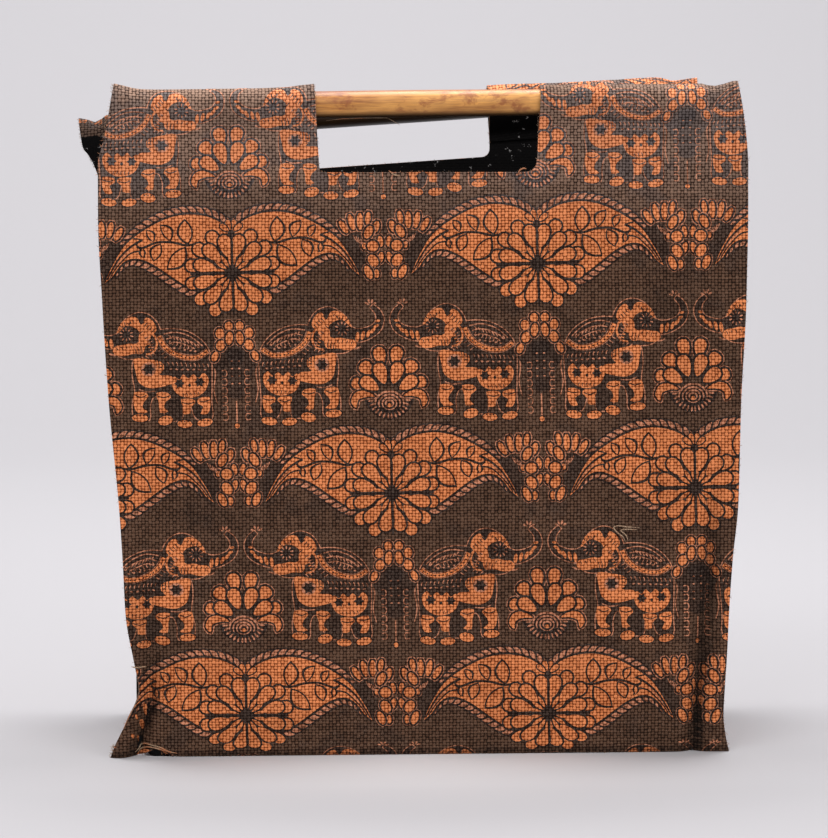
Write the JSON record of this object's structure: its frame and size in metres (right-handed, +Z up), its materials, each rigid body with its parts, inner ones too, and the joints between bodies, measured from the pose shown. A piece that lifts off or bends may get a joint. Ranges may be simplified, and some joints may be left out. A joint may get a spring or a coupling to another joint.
{
  "type": "burlap shopping bag with wooden dowel handles",
  "caption": "Upright printed burlap shopping bag with folded-in side gussets and a bare wooden dowel across a cut hand hole in each face.",
  "frame": {"origin": "on the ground under the middle of the bag", "axes": "+Z up, -Y the way the front panel faces, +X to the right of the front panel"},
  "size_m": [0.4006, 0.1577, 0.4022],
  "materials": {
    "printed_burlap": "coarse plain-weave burlap, brown with an orange and near-black block print, laminated black inside",
    "dowel_wood": "smooth golden cane with reddish-brown stains, lightly varnished"
  },
  "bodies": {
    "root": {"panel_front": "printed_burlap", "panel_back": "printed_burlap", "gusset": "printed_burlap", "dowel_front": "dowel_wood", "dowel_back": "dowel_wood"}
  },
  "joints": []
}
